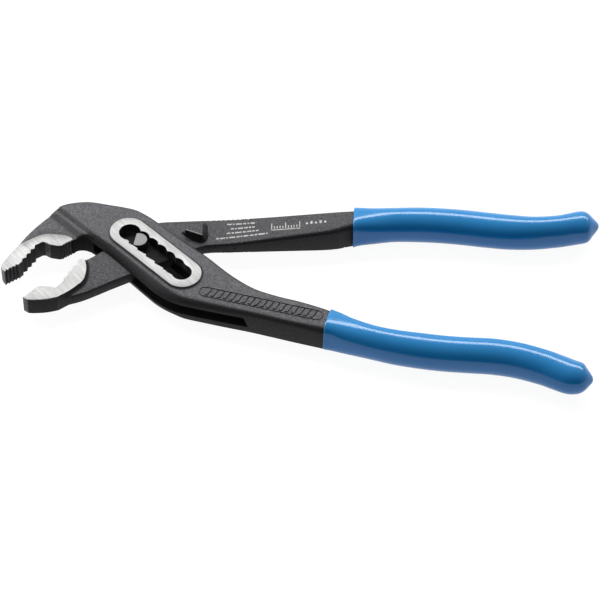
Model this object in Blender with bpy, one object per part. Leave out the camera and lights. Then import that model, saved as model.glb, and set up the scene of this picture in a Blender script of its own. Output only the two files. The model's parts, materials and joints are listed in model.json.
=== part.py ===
"""Tongue and groove pliers, 250 mm class, lying on their side.

X runs along the tool (jaws at -X, handles at +X), Z is the thickness. Lengths below are
in millimetres, measured from the middle plane of the tool, and are scaled by MM. At the
end the whole tool is moved so that the middle of its underside is at the origin.
"""

import math

import bpy
import numpy as np
from mathutils.geometry import delaunay_2d_cdt

MM = 0.001

# Half thicknesses
BODY = 6.0
BOSS = 6.8
JAW_GROUND = 4.25
JAW_BLACK = 3.9
NECK = 2.4
HANDLE = 6.3
TANG = 5.1
OPENING = 2.6
STOP = 6.0

# Adjustment slot: direction, first pin position, pitch and number of positions
SLOT_ANGLE = math.radians(-45.75)
PIN = (-68.6, 35.3)
PITCH = 5.4
POSITIONS = 6
HOLE_R = 4.65
END_R = 4.3
SCALLOP_R = 4.0
CLEAR = 3.88
BOSS_R = 8.05
BOSS_ENDS = (-6.2, 27.6)
BOSS_FILLET = 0.9

# Joint pin
PIN_R = 3.75
PIN_FLAT = 1.55
PIN_TOP = 6.5
RIVET_R = 0.85
RIVET_BORE_R = 1.15
FIT = 0.3

# Edges and grips
EDGE_FRONT = 2.8
EDGE_BACK = 2.0
GRIP_SIDES = 20
SOCKET_GAP = 0.5

BLACK = (0.105, 0.105, 0.112)
GROUND = (0.72, 0.72, 0.70)
BLUE = (0.02, 0.16, 0.47)


def clear_scene():
    for obj in list(bpy.data.objects):
        bpy.data.objects.remove(obj, do_unlink=True)


def material(name, colour, roughness, metallic):
    mat = bpy.data.materials.new(name)
    mat.use_nodes = True
    shader = mat.node_tree.nodes["Principled BSDF"]
    shader.inputs["Base Color"].default_value = (*colour, 1.0)
    shader.inputs["Roughness"].default_value = roughness
    shader.inputs["Metallic"].default_value = metallic
    mat.diffuse_color = (*colour, 1.0)
    return mat


def along_slot(u, v=0.0):
    """A point u along the slot and v across it, from the first pin position."""
    c, s = math.cos(SLOT_ANGLE), math.sin(SLOT_ANGLE)
    return (PIN[0] + u * c - v * s, PIN[1] + u * s + v * c)


def arc(centre, radius, start, end, count):
    """Points on an arc, angles in degrees, both ends included."""
    angles = np.radians(np.linspace(start, end, count))
    return [(centre[0] + radius * math.cos(a), centre[1] + radius * math.sin(a)) for a in angles]


def curve(knots, step):
    """A Catmull-Rom curve through knots (any number of values each), about step apart."""
    p = np.array(knots, float)
    p = np.vstack([2 * p[0] - p[1], p, 2 * p[-1] - p[-2]])
    out = []
    for i in range(1, len(p) - 2):
        a, b, c, d = p[i - 1], p[i], p[i + 1], p[i + 2]
        count = max(1, int(round(np.linalg.norm((c - b)[:2]) / step)))
        for t in np.arange(count) / count:
            out.append(
                0.5
                * (
                    2 * b
                    + (c - a) * t
                    + (2 * a - 5 * b + 4 * c - d) * t**2
                    + (3 * b - a - 3 * c + d) * t**3
                )
            )
    out.append(p[-2])
    return [tuple(q) for q in out]


def teeth(start, end, count, depth, bite):
    """Steps cut to the left of the line from start to end, which passes their points."""
    a, b = np.array(start, float), np.array(end, float)
    t = (b - a) / np.linalg.norm(b - a)
    left = np.array([-t[1], t[0]])
    pitch = np.linalg.norm(b - a) / count
    out = []
    for i in range(count):
        tip = a + t * pitch * i
        out.append(tuple(tip))
        out.append(tuple(tip + t * pitch * bite + left * depth))
    return out


def edge(points, radius):
    """Adds an edge radius to plain points."""
    return [(p[0], p[1], radius) for p in points]


def nearest(loop, points):
    """Distance from each point to a closed loop, and the loop's third value there."""
    a = loop
    b = np.roll(loop, -1, axis=0)
    ab = (b - a)[:, :2]
    length = np.maximum((ab**2).sum(1), 1e-12)
    best = np.full(len(points), 1e9)
    value = np.zeros(len(points))
    for i in range(len(a)):
        t = np.clip(((points - a[i, :2]) @ ab[i]) / length[i], 0, 1)
        d = np.linalg.norm(points - (a[i, :2] + t[:, None] * ab[i]), axis=1)
        closer = d < best
        best[closer] = d[closer]
        value[closer] = (a[i, 2] + (b[i, 2] - a[i, 2]) * t)[closer]
    return best, value


def inside(loop, points):
    """Which points lie inside a closed loop."""
    odd = np.zeros(len(points), bool)
    for (x0, y0), (x1, y1) in zip(loop[:, :2], np.roll(loop, -1, axis=0)[:, :2]):
        if y0 == y1:
            continue
        crosses = (points[:, 1] > min(y0, y1)) & (points[:, 1] <= max(y0, y1))
        at = x0 + (points[:, 1] - y0) * (x1 - x0) / (y1 - y0)
        odd ^= crosses & (points[:, 0] < at)
    return odd


def normals(loop):
    """Inward normals of a counter-clockwise loop, long enough to keep its sides parallel."""
    ahead = np.roll(loop, -1, axis=0)[:, :2] - loop[:, :2]
    ahead /= np.maximum(np.linalg.norm(ahead, axis=1), 1e-9)[:, None]
    both = ahead + np.roll(ahead, 1, axis=0)
    both /= np.maximum((both * ahead).sum(axis=1), 0.5)[:, None]
    return np.stack([-both[:, 1], both[:, 0]], axis=1)


def mesh_object(name, verts, faces, mat, origin=(0.0, 0.0)):
    mesh = bpy.data.meshes.new(name)
    shifted = [((x - origin[0]) * MM, (y - origin[1]) * MM, z * MM) for x, y, z in verts]
    mesh.from_pydata(shifted, [], faces)
    mesh.validate()
    mesh.update()
    obj = bpy.data.objects.new(name, mesh)
    bpy.context.scene.collection.objects.link(obj)
    if mat:
        mesh.materials.append(mat)
    mesh.shade_smooth()
    mesh.set_sharp_from_angle(angle=math.radians(32))
    return obj


def spaced(line, step):
    """A run of points with more added along its straight pieces, at most step apart."""
    out = []
    for a, b in zip(line[:-1], line[1:]):
        count = max(1, math.ceil(math.hypot(b[0] - a[0], b[1] - a[1]) / step))
        for k in range(count):
            out.append((a[0] + (b[0] - a[0]) * k / count, a[1] + (b[1] - a[1]) * k / count))
    out.append((line[-1][0], line[-1][1]))
    return out


def forging(name, loop, height, mat, holes=(), lines=(), origin=(0.0, 0.0), rings=(0.13, 0.5, 1.0)):
    """A part symmetric about the middle plane.

    loop is its counter-clockwise outline of (x, y, edge radius). height gives the half
    thickness before the edges are rounded. holes are loops cut right through, and lines
    are open or closed runs of points where the height changes.
    """
    loop = np.array(loop, float)
    holes = [np.array(h, float)[:, :2] for h in holes]
    points = [loop[:, :2], *holes]
    pairs = []
    base = 0
    for part in points:
        n = len(part)
        pairs += [(base + i, base + (i + 1) % n) for i in range(n)]
        base += n
    for line in lines:
        line = np.array(spaced(line, 1.6), float)
        points.append(line)
        pairs += [(base + i, base + i + 1) for i in range(len(line) - 1)]
        base += len(line)
    inward = normals(loop)
    for share in rings:
        depth = loop[:, 2] * share
        ring = (loop[:, :2] + inward * depth[:, None])[depth > 0.1]
        depth = depth[depth > 0.1]
        if len(ring) == 0:
            continue
        away, _ = nearest(loop, ring)
        ring = ring[(away > 0.97 * depth) & inside(loop, ring)]
        points.append(ring)
    flat = np.vstack(points)
    found = delaunay_2d_cdt([tuple(p) for p in flat], pairs, [], 0, 0.01)
    xy = np.array([tuple(v) for v in found[0]])
    tri = np.array([f for f in found[2] if len(f) == 3])
    middle = xy[tri].mean(axis=1)
    keep = inside(loop, middle)
    for hole in holes:
        keep &= ~inside(hole, middle)
    tri = tri[keep]
    a, b, c = (xy[tri[:, i]] for i in range(3))
    area = (b - a)[:, 0] * (c - a)[:, 1] - (b - a)[:, 1] * (c - a)[:, 0]
    tri[area < 0] = tri[area < 0][:, ::-1]
    used = np.unique(tri)
    index = np.full(len(xy), -1)
    index[used] = np.arange(len(used))
    xy, tri = xy[used], index[tri]
    depth, radius = nearest(loop, xy)
    radius = np.maximum(radius, 1e-6)
    into = np.clip(radius - depth, 0, radius)
    drop = radius - np.sqrt(np.maximum(radius**2 - into**2, 0))
    z = height(xy[:, 0], xy[:, 1]) - np.where(depth < radius, drop, 0)
    top = [(x, y, h) for (x, y), h in zip(xy, z)]
    bottom = [(x, y, -h) for x, y, h in top]
    n = len(top)
    faces = [tuple(t) for t in tri] + [tuple(t[::-1] + n) for t in tri]
    once = {}
    for t in tri:
        for i in range(3):
            e = (int(t[i]), int(t[(i + 1) % 3]))
            once[e] = once.get(e, 0) + 1
    for i, j in once:
        if (j, i) not in once:
            faces.append((j, i, i + n, j + n))
    return mesh_object(name, top + bottom, faces, mat, origin)


def prism(name, outline, z0, z1, mat=None, lean=None, origin=(0.0, 0.0)):
    """A straight extrusion; lean moves the bottom ring's points."""
    n = len(outline)
    low = outline if lean is None else lean
    verts = [(x, y, z0) for x, y in low] + [(x, y, z1) for x, y in outline]
    faces = [tuple(range(n - 1, -1, -1)), tuple(range(n, 2 * n))]
    faces += [(i, (i + 1) % n, n + (i + 1) % n, n + i) for i in range(n)]
    return mesh_object(name, verts, faces, mat, origin)


def cut(obj, cutter):
    modifier = obj.modifiers.new("cut_" + cutter.name, "BOOLEAN")
    modifier.operation = "DIFFERENCE"
    modifier.solver = "EXACT"
    modifier.object = cutter
    cutter.hide_render = True
    cutter.display_type = "WIRE"


def ramp(value, start, end):
    return np.clip((value - start) / (end - start), 0, 1)


# --- adjustment slot -----------------------------------------------------------------


def slot_outline():
    """Assembly hole, scalloped back side, end radius and saw-toothed front side."""
    cusps = [PITCH * (k + 0.54) for k in range(-1, POSITIONS - 1)]
    out = []
    lift = CLEAR - math.sqrt(SCALLOP_R**2 - (PITCH / 2) ** 2)
    for k in range(len(cusps) - 1):
        mid = (cusps[k] + cusps[k + 1]) / 2
        for t in np.linspace(-PITCH / 2, PITCH / 2, 6)[:-1]:
            out.append(along_slot(mid + t, lift + math.sqrt(SCALLOP_R**2 - t**2)))
    end = PITCH * (POSITIONS - 1)
    start = math.degrees(math.asin(CLEAR / END_R))
    for a in np.radians(np.linspace(180 - start - 6, -(180 - start - 8), 14)):
        out.append(along_slot(end + END_R * math.cos(a), END_R * math.sin(a)))
    for k in range(POSITIONS - 1, -2, -1):
        tip = PITCH * (k - 0.3)
        out.append(along_slot(tip + 0.8, -CLEAR - 0.75))
        out.append(along_slot(tip, -CLEAR))
    out = out[:-2]
    hole = -PITCH
    low = math.degrees(math.asin(CLEAR / HOLE_R))
    for a in np.radians(np.linspace(-low, -360 + low, 20)):
        out.append(along_slot(hole + HOLE_R * math.cos(a), HOLE_R * math.sin(a)))
    return out[::-1]


def stadium(extra, count):
    """The ground boss around the slot, grown by extra."""
    turn = math.degrees(SLOT_ANGLE)
    first = arc(along_slot(BOSS_ENDS[1]), BOSS_R + extra, turn - 90, turn + 90, count)
    second = arc(along_slot(BOSS_ENDS[0]), BOSS_R + extra, turn + 90, turn + 270, count)
    return first + second


# --- outer lever ---------------------------------------------------------------------

OUTER_AXIS = [(20, -13.9), (30, -17.4), (40, -20.2), (50, -22.1), (60, -23.6), (70, -24.5)]
OUTER_AXIS += [(80, -25.3), (90, -27.4), (98, -30.2)]
INNER_AXIS = [(31, 49.0), (40, 49.8), (50, 49.9), (60, 49.4), (70, 48.3), (80, 46.8)]
INNER_AXIS += [(90, 45.5), (100, 45.1), (108, 45.7)]


# Lines across the levers where the half thickness starts and ends its taper
OUTER_TAPER = [[(12.5, -26.0), (12.5, 3.0)], [(20.0, -26.0), (20.0, 0.0)]]
INNER_TAPER = [[(x, 34.0), (x, 60.0)] for x in (20.0, 24.0, 31.0)]


def tang(axis, half, radius):
    """The bar inside a grip: out along the front side, round the end, back along the other."""
    line = np.array(axis, float)
    way = np.gradient(line, axis=0)
    way /= np.linalg.norm(way, axis=1)[:, None]
    side = np.stack([-way[:, 1], way[:, 0]], axis=1)
    front = [tuple(p) + (radius,) for p in line - side * half]
    back = [tuple(p) + (radius,) for p in line + side * half]
    tip = tuple(line[-1] + way[-1] * half * 0.7) + (radius,)
    return front, [tip], back[::-1]


def outer_outline():
    front_tang, tip, back_tang = tang(OUTER_AXIS, 4.7, 2.0)
    nose = teeth((-125.0, 18.7), (-117.6, 23.4), 5, 0.45, 0.35)
    steps = teeth((-117.5, 24.2), (-111.0, 34.6), 4, 0.95, 0.53)
    gullet = curve([(-110.9, 34.9), (-110.0, 35.6), (-108.6, 35.7), (-107.2, 34.8)], 0.8)
    bulge = curve([(-106.2, 34.2), (-104.2, 33.8), (-102.4, 33.5), (-101.0, 33.9)], 1.2)
    back_teeth = teeth((-100.7, 34.0), (-97.5, 36.0), 3, 0.4, 0.35)
    jaw = edge(nose + steps + gullet + bulge + back_teeth, 0.0)
    front = [(-97.3, 36.3, 0.0), (-95.5, 37.7, 0.9), (-93.0, 39.0, 2.0), (-91.0, 38.8, 2.4)]
    front += [(-89.0, 37.6, 2.7), (-87.0, 35.7, EDGE_FRONT), (-80.0, 28.7, EDGE_FRONT)]
    front += [(-72.2, 20.0, EDGE_FRONT), (-63.4, 10.2, EDGE_FRONT), (-60.0, 6.8, EDGE_FRONT)]
    front += [(-55.0, 3.3, EDGE_FRONT), (-50.0, 1.0, EDGE_FRONT), (-40.0, -1.9, EDGE_FRONT)]
    front += [(-30.0, -4.6, EDGE_FRONT), (-20.0, -7.2, EDGE_FRONT), (0.0, -13.3, EDGE_FRONT)]
    front += [(10.5, -16.5, EDGE_FRONT), *front_tang]
    back = [*back_tang, (11.9, -3.8, EDGE_BACK), (0.3, 1.0, EDGE_BACK), (-9.7, 4.3, EDGE_BACK)]
    back += [(-19.5, 8.7, EDGE_BACK), (-29.3, 16.5, EDGE_BACK), (-39.3, 26.7, EDGE_BACK)]
    back += [(-49.3, 35.9, EDGE_BACK), (-60.3, 46.3, EDGE_BACK), (-64.4, 50.0, EDGE_BACK)]
    back += [(-69.8, 53.8, EDGE_BACK), (-75.0, 55.6, EDGE_BACK), (-82.0, 57.2, EDGE_BACK)]
    back += [(-90.0, 59.0, EDGE_BACK), (-96.0, 58.7, EDGE_BACK), (-101.0, 57.3, 1.9)]
    back += [(-104.6, 54.9, 1.6), (-110.4, 48.5, 1.2), (-115.6, 41.6, 1.0), (-119.0, 35.4, 0.4)]
    back += [(-119.6, 34.0, 0.0), (-123.0, 28.6, 0.0), (-125.4, 24.2, 0.0), (-126.3, 21.5, 0.0)]
    back += [(-125.9, 19.9, 0.0)]
    return jaw + curve(front, 4.5) + tip + curve(back, 4.5)


# Upper jaw: edge of the ground face, from the back edge to the throat
JAW_LINE = [(-119.3, 34.4), (-115.0, 37.2), (-110.5, 39.9), (-107.0, 40.6), (-103.0, 40.2)]
JAW_LINE += [(-100.0, 39.8), (-98.4, 38.7), (-97.3, 37.2), (-97.3, 36.3)]
# Shoulder between jaw and body: sum x + y at the three edges of its two slopes
SHOULDER = (-55.5, -50.7, -47.6)
SHOULDER_Z = (JAW_BLACK, 5.0, BODY)


def outer_height(x, y):
    points = np.stack([x, y], axis=1)
    z = np.interp(x + y, SHOULDER, SHOULDER_Z)
    ground = np.array([(-130, 10), (-97.28, 10), *JAW_LINE[::-1], (-130, 40)], float)
    ground = np.c_[ground, np.zeros(len(ground))]
    away, _ = nearest(ground, points)
    z = np.where((inside(ground, points) | (away < 0.02)) & (x + y < -55), JAW_GROUND, z)
    boss = np.array(stadium(0, 12))
    boss = np.c_[boss, np.zeros(len(boss))]
    away, _ = nearest(boss, points)
    away = np.where(inside(boss, points), 0, away)
    z = z + (BOSS - BODY) * (1 - ramp(away, 0.02, BOSS_FILLET))
    grip = ramp(x, 12.5, 20.0)
    return z + (TANG - BODY) * grip


def shoulder_line(total):
    """A line across the upper jaw at 45 degrees, x + y = total."""
    return [(total - y, y) for y in (34.0, 60.0)]


def shifted(line, distance):
    """An open run of points moved sideways."""
    p = np.array(line, float)
    way = np.gradient(p, axis=0)
    way /= np.linalg.norm(way, axis=1)[:, None]
    return [tuple(q) for q in p + np.stack([-way[:, 1], way[:, 0]], axis=1) * distance]


# --- inner lever ---------------------------------------------------------------------

LOWER_LINE = [(-101.5, 4.3), (-97.0, 7.7), (-94.0, 10.6), (-91.8, 13.0), (-90.7, 15.5)]
LOWER_LINE += [(-90.2, 20.0), (-90.4, 23.0), (-91.0, 25.2), (-92.0, 26.3)]
LOWER_STEP = 1.7
STOP_TOP = [(-48.6, 41.6), (-42.0, 38.6), (-42.0, 46.0)]
STOP_BASE = [(-51.0, 43.2), (-45.2, 38.4), (-40.8, 37.6), (-39.2, 41.0), (-39.8, 48.0), (-41.4, 49.4)]


def inner_outline():
    front_tang, tip, back_tang = tang(INNER_AXIS, 4.7, 2.0)
    low = [(-116.0, 4.1, 0.0), (-115.2, 2.9, 0.0), (-112.0, 2.6, 0.0), (-108.0, 2.8, 0.0)]
    low += [(-105.0, 3.3, 0.0), (-101.5, 4.3, 0.0), (-98.0, 5.4, 0.0), (-95.0, 6.3, 0.4)]
    low += [(-92.0, 7.4, 0.8), (-88.0, 9.4, 0.8), (-80.0, 14.0, 0.8), (-72.3, 18.2, 0.8)]
    low += [(-60.0, 24.7, 0.8), (-50.0, 30.2, 0.8), (-42.5, 34.3, 0.8), (-38.0, 35.4, 0.8)]
    low += [(-30.0, 35.8, 0.9), (-20.0, 36.7, 1.4), (-10.0, 37.7, 2.0), (0.0, 38.7, 2.4)]
    low += [(10.0, 39.8, 2.4), (16.0, 40.8, 2.4), (22.0, 42.6, 2.3), *front_tang]
    high = [*back_tang, (22.0, 53.0, 1.9), (10.0, 52.6, 1.9), (0.0, 52.2, 1.8), (-10.0, 51.7, 1.5)]
    high += [(-20.0, 51.3, 1.2), (-31.0, 50.9, 0.9), (-40.0, 50.5, 0.8), (-50.0, 50.0, 0.8)]
    high += [(-60.7, 49.2, 0.8), (-67.0, 46.4, 0.8), (-74.0, 40.8, 0.8), (-81.0, 35.0, 0.8)]
    high += [(-87.6, 29.6, 0.8), (-90.4, 27.4, 0.4), (-92.2, 26.3, 0.0)]
    steps = teeth((-93.9, 25.2), (-101.2, 12.0), 4, 0.78, 0.47)
    nose = [(-101.7, 10.6), (-102.4, 9.8), (-105.0, 10.2), (-108.6, 10.5), (-110.6, 10.1)]
    nose += teeth((-111.4, 9.3), (-115.6, 4.6), 4, 0.35, 0.35)
    return curve(low, 4.5) + tip + curve(high, 4.5) + edge(steps + nose, 0.0)


def inner_height(x, y):
    points = np.stack([x, y], axis=1)
    z = NECK + (HANDLE - NECK) * ramp(x, -31.0, 20.0)
    z = z + (TANG - HANDLE) * ramp(x, 24.0, 31.0)
    ground = [(-130, -10), (-101.5, -10), *LOWER_LINE, (-92.0, 40), (-130, 40)]
    ground = np.c_[np.array(ground, float), np.zeros(len(ground))]
    away, _ = nearest(ground, points)
    away = np.where(inside(ground, points), 0, away)
    step = (1 - ramp(away, 0.02, LOWER_STEP)) ** 2
    z = np.where(x < -80, NECK + (JAW_GROUND - NECK) * step, z)
    top = np.c_[np.array(STOP_TOP), np.zeros(3)]
    base = np.c_[np.array(STOP_BASE), np.zeros(len(STOP_BASE))]
    to_top, _ = nearest(top, points)
    to_base, _ = nearest(base, points)
    to_top = np.where(inside(top, points) | (to_top < 0.02), 0, to_top)
    share = np.where(inside(base, points), to_base / np.maximum(to_base + to_top, 1e-6), 0)
    share = np.where(to_top == 0, 1, share)
    return np.maximum(z, z + (STOP - z) * share**1.8)


def between(first, second, share):
    """Points on the way from each point of one run to the nearest point of another loop."""
    loop = np.array(second, float)
    out = []
    for p in np.array(first, float):
        best = None
        for a, b in zip(loop, np.roll(loop, -1, axis=0)):
            t = np.clip((p - a) @ (b - a) / ((b - a) @ (b - a)), 0, 1)
            q = a + t * (b - a)
            if best is None or np.linalg.norm(p - q) < np.linalg.norm(p - best):
                best = q
        out.append(tuple(p + (best - p) * share))
    return out


# --- grips ---------------------------------------------------------------------------

# Each station: x, y of the centre, half width, half thickness, squareness of the section
OUTER_GRIP = [(11.4, -10.1, 7.6, 7.5, 2.9), (14.5, -11.3, 7.2, 7.5, 2.7), (20.0, -13.8, 6.9, 7.5, 2.3)]
OUTER_GRIP += [(30.0, -17.4, 6.7, 7.5, 2.1), (40.0, -20.2, 6.9, 7.6, 2.1), (50.0, -22.1, 7.2, 7.7, 2.1)]
OUTER_GRIP += [(60.0, -23.6, 7.2, 7.7, 2.1), (70.0, -24.5, 7.2, 7.7, 2.1), (80.0, -25.3, 7.3, 7.7, 2.1)]
OUTER_GRIP += [(90.0, -27.4, 7.2, 7.6, 2.1), (100.0, -31.0, 7.2, 7.4, 2.1), (106.0, -34.0, 7.4, 7.2, 2.1)]
OUTER_GRIP += [(110.5, -36.3, 7.5, 7.0, 2.1), (113.2, -37.1, 6.9, 6.5, 2.1), (116.0, -37.8, 5.0, 5.0, 2.1)]
OUTER_GRIP += [(118.5, -38.2, 2.8, 3.0, 2.0), (120.2, -38.4, 0.7, 0.8, 2.0)]
INNER_GRIP = [(22.3, 48.3, 7.6, 7.6, 2.8), (25.5, 48.7, 7.2, 7.6, 2.6), (31.0, 49.1, 7.1, 7.6, 2.2)]
INNER_GRIP += [(40.0, 49.8, 7.1, 7.7, 2.1), (50.0, 49.9, 7.2, 7.7, 2.1), (60.0, 49.4, 7.3, 7.7, 2.1)]
INNER_GRIP += [(70.0, 48.3, 7.4, 7.7, 2.1), (80.0, 46.8, 7.4, 7.7, 2.1), (90.0, 45.5, 7.2, 7.6, 2.1)]
INNER_GRIP += [(100.0, 45.1, 6.6, 7.5, 2.1), (110.0, 46.1, 6.4, 7.3, 2.1), (116.0, 47.4, 6.6, 7.2, 2.1)]
INNER_GRIP += [(120.0, 48.7, 6.9, 7.0, 2.1), (122.8, 49.6, 6.4, 6.5, 2.1), (125.3, 50.2, 4.4, 4.8, 2.1)]
INNER_GRIP += [(127.2, 50.5, 2.3, 2.6, 2.0), (128.2, 50.6, 0.7, 0.8, 2.0)]


def grip_body(name, stations, mat, origin):
    rows = np.array(curve(stations, 4.0))
    way = np.gradient(rows[:, :2], axis=0)
    way /= np.linalg.norm(way, axis=1)[:, None]
    verts = []
    for (x, y, half, thick, square), (tx, ty) in zip(rows, way):
        for k in range(GRIP_SIDES):
            a = 2 * math.pi * (k + 0.5) / GRIP_SIDES
            c, s = math.cos(a), math.sin(a)
            across = half * math.copysign(abs(c) ** (2 / square), c)
            up = thick * math.copysign(abs(s) ** (2 / square), s)
            verts.append((x - ty * across, y + tx * across, up))
    n, m = len(rows), GRIP_SIDES
    faces = [tuple(range(m))]
    for i in range(n - 1):
        for k in range(m):
            a, b = i * m + k, i * m + (k + 1) % m
            faces.append((b, a, a + m, b + m))
    faces.append(tuple((n - 1) * m + k for k in range(m - 1, -1, -1)))
    return mesh_object(name, verts, faces, mat, origin)


def socket(name, outline, height, mouth, lines, origin):
    """The hollow of a grip: the lever's own tang, grown by the socket gap."""
    loop = np.array(outline, float)
    grown = loop[:, :2] - normals(loop) * SOCKET_GAP
    keep = loop[:, 0] > mouth
    first = int(np.argmax(keep & ~np.roll(keep, 1)))
    order = [(first + i) % len(loop) for i in range(int(keep.sum()))]
    part = np.c_[grown[order], loop[order, 2] + 0.2]
    rise = lambda x, y: height(x, y) + SOCKET_GAP
    return forging(name, part, rise, None, lines=lines, origin=origin)


# --- build ---------------------------------------------------------------------------


def build_outer(black):
    lines = [JAW_LINE, shifted(JAW_LINE, 0.4)]
    lines += [shoulder_line(total) for total in SHOULDER]
    for grow in (0.0, BOSS_FILLET):
        ring = stadium(grow, 12)
        lines.append(ring + ring[:1])
    lines += OUTER_TAPER
    lever = forging("outer_lever", outer_outline(), outer_height, black, [slot_outline()], lines)
    low_left, high_left = (-92.8, 28.9), (-75.5, 64.2)
    right = ((-29.6, -24.3), (-8.3, 40.0))
    opening = [low_left, right[0], right[1], high_left]
    lean = [low_left, (right[0][0] + 2.0, right[0][1]), (right[1][0] + 2.0, right[1][1]), high_left]
    cut(lever, prism("opening_cutter", opening, -OPENING, OPENING, lean=lean))
    return lever


def build_inner(black):
    lines = [LOWER_LINE, shifted(LOWER_LINE, -LOWER_STEP / 2), shifted(LOWER_LINE, -LOWER_STEP)]
    lines += [[(-31.0, 30.0), (-31.0, 60.0)], *INNER_TAPER]
    for share in (0.0, 0.35, 0.7):
        ring = between(STOP_BASE, STOP_TOP, share)
        lines.append(ring + ring[:1])
    lines.append(STOP_TOP + STOP_TOP[:1])
    bore = arc(PIN, PIN_R + FIT, 0, 345, 24)
    return forging("inner_lever", inner_outline(), inner_height, black, [bore], lines, origin=PIN)


def pin_outline():
    """A round pin with one flat, which faces the jaws."""
    turn = 170.6
    half = math.degrees(math.acos(PIN_FLAT / PIN_R))
    return arc(PIN, PIN_R, turn + half, turn + 360 - half, 26)


def main():
    clear_scene()
    black = material("black_steel", BLACK, 0.5, 0.3)
    steel = material("pin_steel", GROUND, 0.3, 1.0)
    rivet_steel = material("rivet_steel", GROUND, 0.35, 1.0)
    inner_black = material("black_steel_inner", BLACK, 0.5, 0.3)
    blue = material("grip_blue", BLUE, 0.2, 0.0)
    inner_blue = material("grip_blue_inner", BLUE, 0.2, 0.0)

    outer = build_outer(black)
    outer_grip = grip_body("outer_grip", OUTER_GRIP, blue, (0.0, 0.0))
    hollow = socket("outer_socket", outer_outline(), outer_height, 3.0, OUTER_TAPER, (0.0, 0.0))
    cut(outer_grip, hollow)

    axis = bpy.data.objects.new("pin_axis", None)
    bpy.context.scene.collection.objects.link(axis)
    inner = build_inner(inner_black)
    inner_grip = grip_body("inner_grip", INNER_GRIP, inner_blue, PIN)
    hollow = socket("inner_socket", inner_outline(), inner_height, 13.0, INNER_TAPER, PIN)
    cut(inner_grip, hollow)

    loop = edge(pin_outline(), 0.3)
    pin = forging("joint_pin", loop, lambda x, y: PIN_TOP + 0 * x, steel, origin=PIN, rings=(1.0,))
    bore = arc(PIN, RIVET_BORE_R, 0, 345, 24)
    cut(pin, prism("rivet_bore", bore, -PIN_TOP - 1, 2.4, origin=PIN))
    shank = arc(PIN, RIVET_R, 0, 345, 24)
    rivet = prism("pin_rivet", shank, -PIN_TOP + 0.2, 2.0, rivet_steel, origin=PIN)

    axis.location = (PIN[0] * MM, PIN[1] * MM, 0.0)
    for obj in bpy.data.objects:
        if obj.name in ("outer_grip", "outer_socket", "opening_cutter"):
            obj.parent = outer
        elif obj not in (outer, axis):
            obj.parent = axis

    bpy.context.view_layer.update()
    shown = [outer, outer_grip, inner, inner_grip, pin, rivet]
    corners = np.array([tuple(o.matrix_world @ v.co) for o in shown for v in o.data.vertices])
    low, high = corners.min(axis=0), corners.max(axis=0)
    move = ((low[0] + high[0]) / 2, (low[1] + high[1]) / 2, low[2])
    for obj in (outer, axis):
        obj.location = [obj.location[i] - move[i] for i in range(3)]
    bpy.context.view_layer.update()
    print("size", high - low, "moved", move, "pin axis", tuple(axis.location))


main()
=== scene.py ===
"""The look of the tongue and groove pliers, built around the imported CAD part."""

import json
import math

import bpy
import numpy as np
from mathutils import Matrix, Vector
from mathutils.geometry import delaunay_2d_cdt


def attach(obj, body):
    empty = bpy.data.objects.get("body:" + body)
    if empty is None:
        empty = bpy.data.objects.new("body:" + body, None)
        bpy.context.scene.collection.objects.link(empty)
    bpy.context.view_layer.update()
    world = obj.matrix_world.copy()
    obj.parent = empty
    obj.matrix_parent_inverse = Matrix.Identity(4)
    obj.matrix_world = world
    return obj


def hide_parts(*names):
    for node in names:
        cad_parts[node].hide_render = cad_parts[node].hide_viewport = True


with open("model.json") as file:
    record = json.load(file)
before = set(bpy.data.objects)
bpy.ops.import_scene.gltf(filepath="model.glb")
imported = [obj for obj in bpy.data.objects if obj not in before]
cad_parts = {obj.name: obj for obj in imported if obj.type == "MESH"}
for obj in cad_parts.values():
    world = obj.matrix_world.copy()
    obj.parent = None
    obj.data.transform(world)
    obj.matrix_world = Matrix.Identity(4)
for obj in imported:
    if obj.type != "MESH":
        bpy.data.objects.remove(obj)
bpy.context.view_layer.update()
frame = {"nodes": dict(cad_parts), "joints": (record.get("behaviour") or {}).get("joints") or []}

MM = 0.001

# Half thicknesses, in millimetres from the tool's middle plane
BODY = 6.0
JAW_GROUND = 4.25
JAW_BLACK = 3.9
NECK = 2.4
HANDLE = 6.3
TANG = 5.1
OPENING = 2.6
STOP = 6.0

SLOT_ANGLE = math.radians(-45.75)
PIN = (-68.6, 35.3)
PITCH = 5.4
POSITIONS = 6
HOLE_R = 4.65
END_R = 4.3
SCALLOP_R = 4.0
CLEAR = 3.88
RING_R = 7.85
RING_ENDS = (-6.2, 27.6)
PIN_R = 3.75
PIN_FLAT = 1.55
PIN_TOP = 6.5
PIN_TURN = 170.6
PIN_GAP = 0.05
PIN_EDGE = 0.3
EDGE_FRONT = 2.8
EDGE_BACK = 2.0
GROUND_EDGE = 0.16
UNDER_EDGE = 0.35
GROUND_STEP = 0.45

# Where the levers thin down to the tangs inside the grips
OUTER_TANG = (15.0, 22.0)
INNER_TANG = (27.0, 34.0)
TANG_HALF = 4.7
TANG_EDGE = 2.0
SOCKET_GAP = 0.5

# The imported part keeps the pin's axis, so it gives the shift from millimetres to the frame
HINGE = [j for j in frame["joints"] if j["type"] == "hinge"][0]["pos_m"]
SHIFT = (PIN[0] - HINGE[0] / MM, PIN[1] - HINGE[1] / MM, -HINGE[2] / MM)


# --- plane geometry --------------------------------------------------------------------


def along_slot(u, v=0.0):
    c, s = math.cos(SLOT_ANGLE), math.sin(SLOT_ANGLE)
    return (PIN[0] + u * c - v * s, PIN[1] + u * s + v * c)


def arc(centre, radius, start, end, count):
    angles = np.radians(np.linspace(start, end, count))
    return [(centre[0] + radius * math.cos(a), centre[1] + radius * math.sin(a)) for a in angles]


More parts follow.
